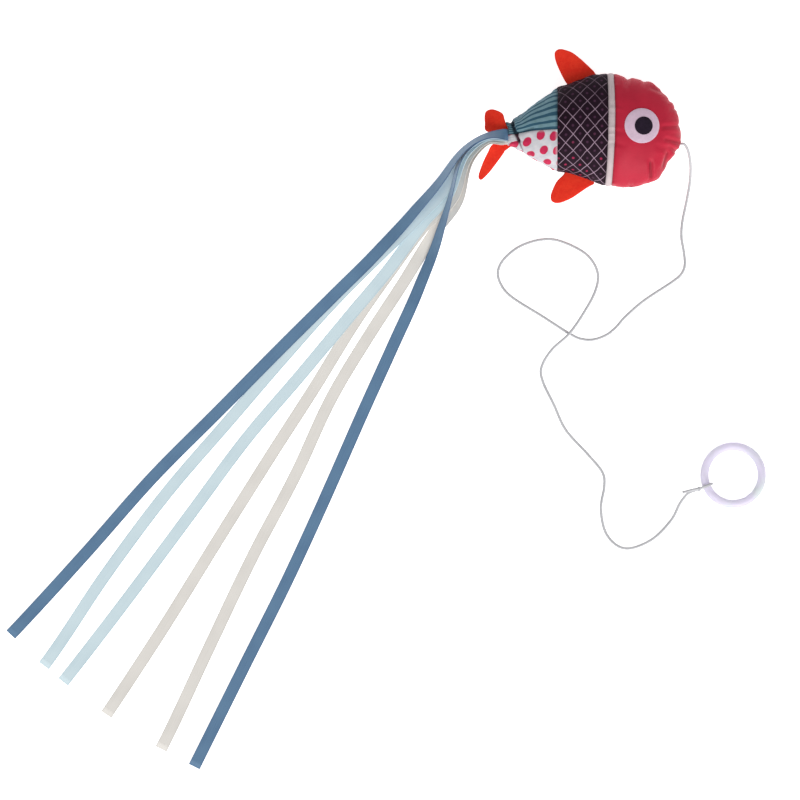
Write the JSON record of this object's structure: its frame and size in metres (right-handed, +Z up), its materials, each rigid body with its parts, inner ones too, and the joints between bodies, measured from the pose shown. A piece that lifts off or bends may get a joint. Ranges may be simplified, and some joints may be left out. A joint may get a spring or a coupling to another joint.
{
  "type": "cat teaser toy",
  "caption": "Stuffed patchwork fish with felt fins and tail ribbons, on an elastic string with a finger ring, dangled for a cat to chase.",
  "frame": {"origin": "under the middle of the printed body panel, on the surface that the fish lies on", "axes": "+Z up, +X towards the fish's nose, +Y towards its back fin; the fish lies on its left side"},
  "size_m": [0.3803, 0.3602, 0.0337],
  "materials": {
    "head_cloth": "smooth red satin",
    "band_cloth": "smooth grey-white satin",
    "print_cloth": "plum cotton with a pale diagonal lattice",
    "striped_cloth": "teal cotton with dark stripes",
    "dotted_cloth": "white cotton with pink dots",
    "eye_white_cloth": "smooth pale felt",
    "pupil_cloth": "smooth dark felt",
    "filling": "loose white fibre",
    "felt": "pressed orange-red felt",
    "blue_ribbon": "satin ribbon",
    "pale_ribbon": "satin ribbon",
    "cream_ribbon": "satin ribbon",
    "elastic_cord": "round braided elastic",
    "ring_plastic": "translucent moulded plastic"
  },
  "bodies": {
    "root": {"head_right": "head_cloth", "head_left": "head_cloth", "band_right": "band_cloth", "band_left": "band_cloth", "body_panel_right": "print_cloth", "body_panel_left": "print_cloth", "back_panel_right": "striped_cloth", "back_panel_left": "striped_cloth", "belly_panel_right": "dotted_cloth", "belly_panel_left": "dotted_cloth", "eye_white_right": "eye_white_cloth", "eye_white_left": "eye_white_cloth", "pupil_right": "pupil_cloth", "pupil_left": "pupil_cloth", "stuffing": "filling", "string": "elastic_cord", "string_anchor": "elastic_cord", "string_cut_end": "elastic_cord"},
    "back_fin": {"dorsal_fin": "felt"},
    "belly_fin": {"pelvic_fin": "felt"},
    "tail": {"tail_lobe_upper": "felt", "tail_lobe_lower": "felt", "ribbon_blue_upper": "blue_ribbon", "ribbon_pale_upper": "pale_ribbon", "ribbon_pale_lower": "pale_ribbon", "ribbon_cream_upper": "cream_ribbon", "ribbon_cream_lower": "cream_ribbon", "ribbon_blue_lower": "blue_ribbon"},
    "ring_tie": {"string_knot": "elastic_cord", "string_loop": "elastic_cord"},
    "ring": {"finger_ring": "ring_plastic"}
  },
  "joints": [
    {"name": "back_fin_flap", "type": "hinge", "parent": "root", "child": "back_fin", "pos_m": [-0.00867, 0.02412, 0.0165], "axis": [0.945, 0.3271, 0], "range_deg": [-30, 30], "stiffness_Nm_per_rad": 0.0005},
    {"name": "belly_fin_flap", "type": "hinge", "parent": "root", "child": "belly_fin", "pos_m": [-0.00963, -0.02272, 0.0165], "axis": [-0.9538, 0.3005, 0], "range_deg": [-30, 30], "stiffness_Nm_per_rad": 0.0005},
    {"name": "tail_flap", "type": "hinge", "parent": "root", "child": "tail", "pos_m": [-0.0378, -0.00266, 0.0165], "axis": [0, 1, 0], "range_deg": [-30, 45]},
    {"name": "knot_bend", "type": "hinge", "parent": "root", "child": "ring_tie", "pos_m": [0.05862, -0.17952, 0.00355], "axis": [0.3746, -0.9272, 0], "range_deg": [0, 90]},
    {"name": "ring_turn", "type": "hinge", "parent": "ring_tie", "child": "ring", "pos_m": [0.07575, -0.1726, 0.00282], "axis": [0.0467, 0.0189, 0.9987], "continuous": true}
  ]
}
